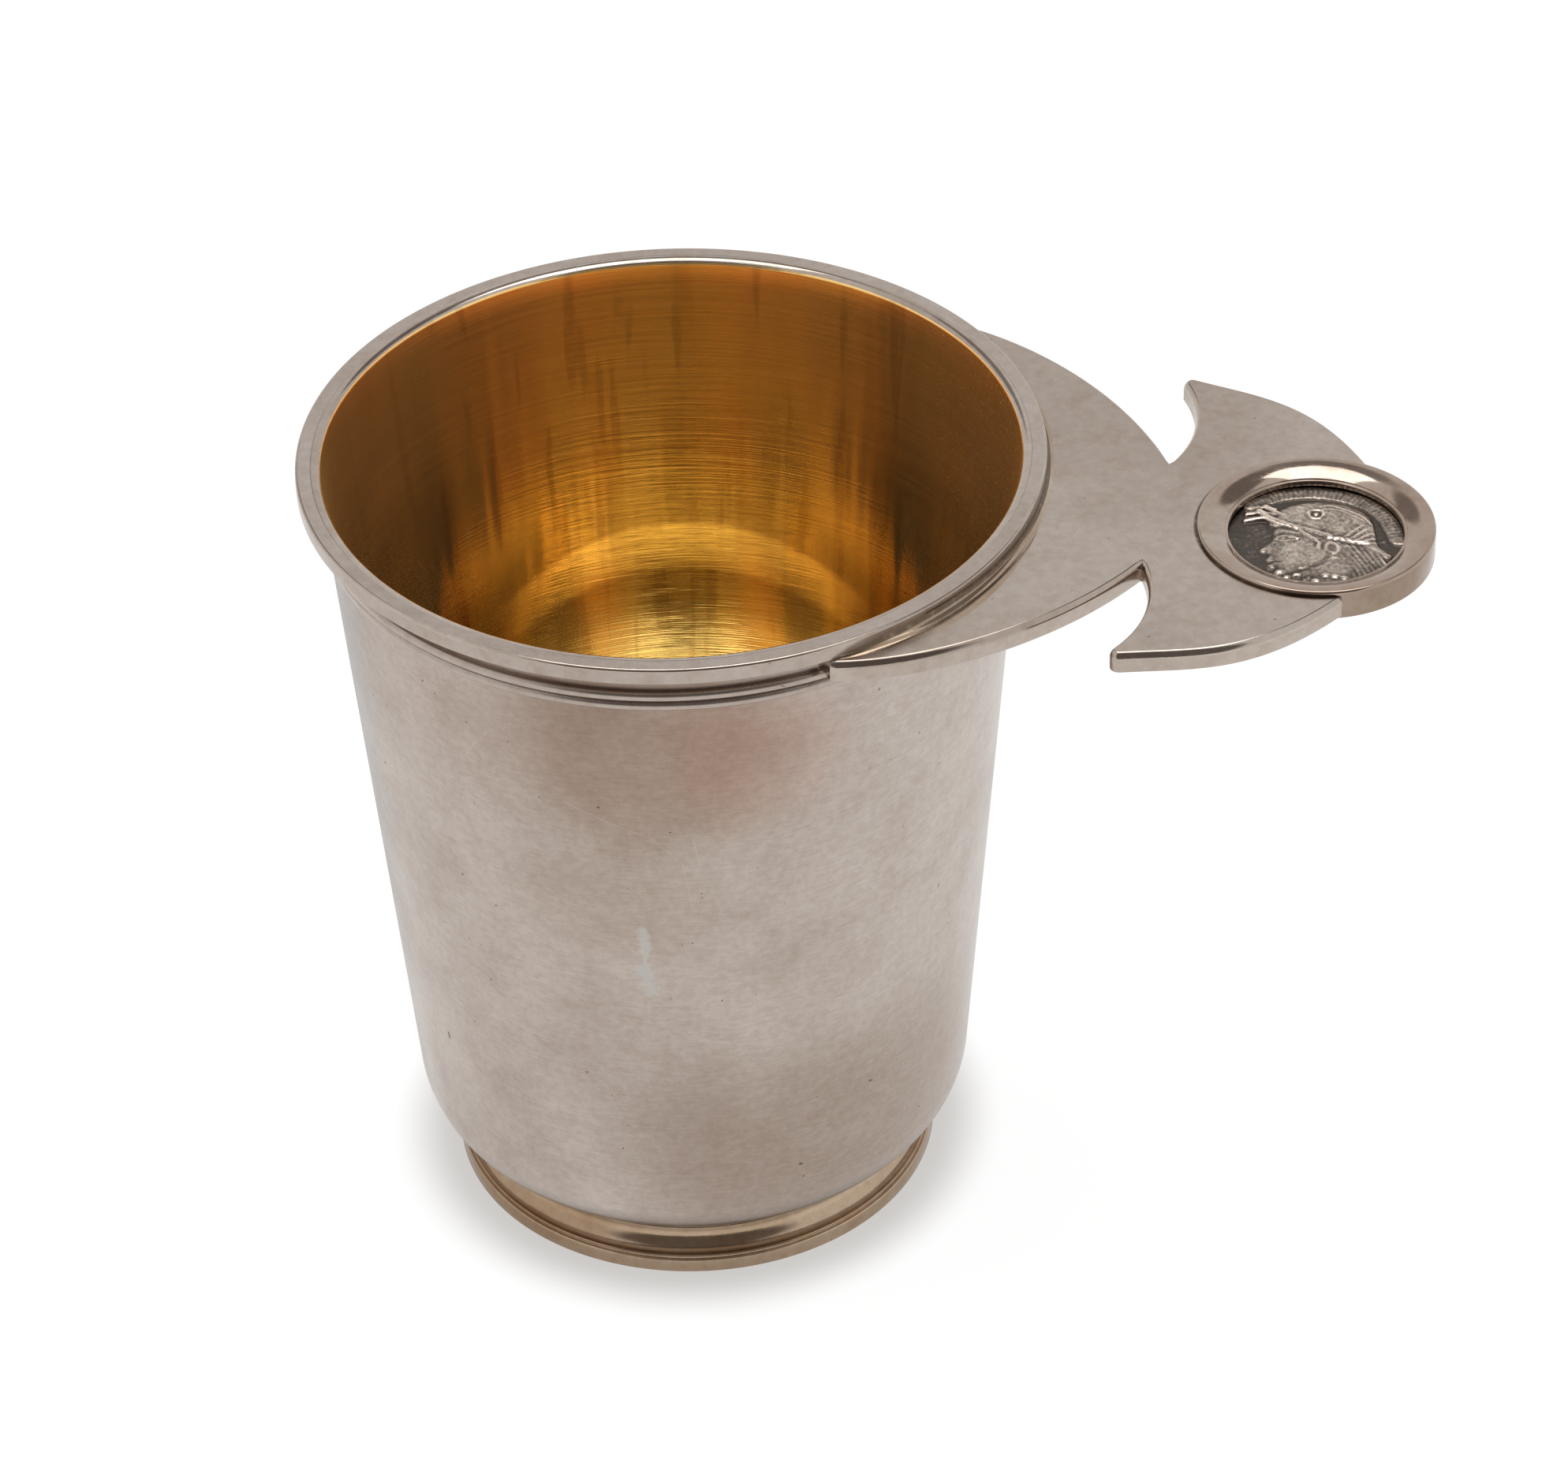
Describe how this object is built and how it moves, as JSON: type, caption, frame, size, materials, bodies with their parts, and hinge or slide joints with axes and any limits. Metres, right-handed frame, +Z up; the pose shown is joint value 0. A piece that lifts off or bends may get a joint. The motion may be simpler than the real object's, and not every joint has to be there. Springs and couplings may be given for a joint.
{
  "type": "handled silver beaker",
  "caption": "Flared silver beaker with a gilt inside, a moulded rim and foot, and a flat fish-tail handle that holds a coin in a round collet.",
  "frame": {"origin": "on the standing surface, under the middle of the bounding box; the beaker's own axis lies at x = -20.2 mm", "axes": "+Z up along the beaker's axis, +X from the beaker towards the end of its handle, +Y to the left of the handle as seen from the beaker"},
  "size_m": [0.1184, 0.078, 0.0908],
  "materials": {
    "silver_satin": "satin",
    "silver_polished": "polished",
    "coin_silver": "satin"
  },
  "bodies": {
    "root": {"cup_body": "silver_satin", "rim_flange": "silver_satin", "reeded_band": "silver_satin", "foot_ring": "silver_satin", "handle_plate": "silver_satin", "coin_collet": "silver_polished", "coin": "coin_silver"}
  },
  "joints": []
}
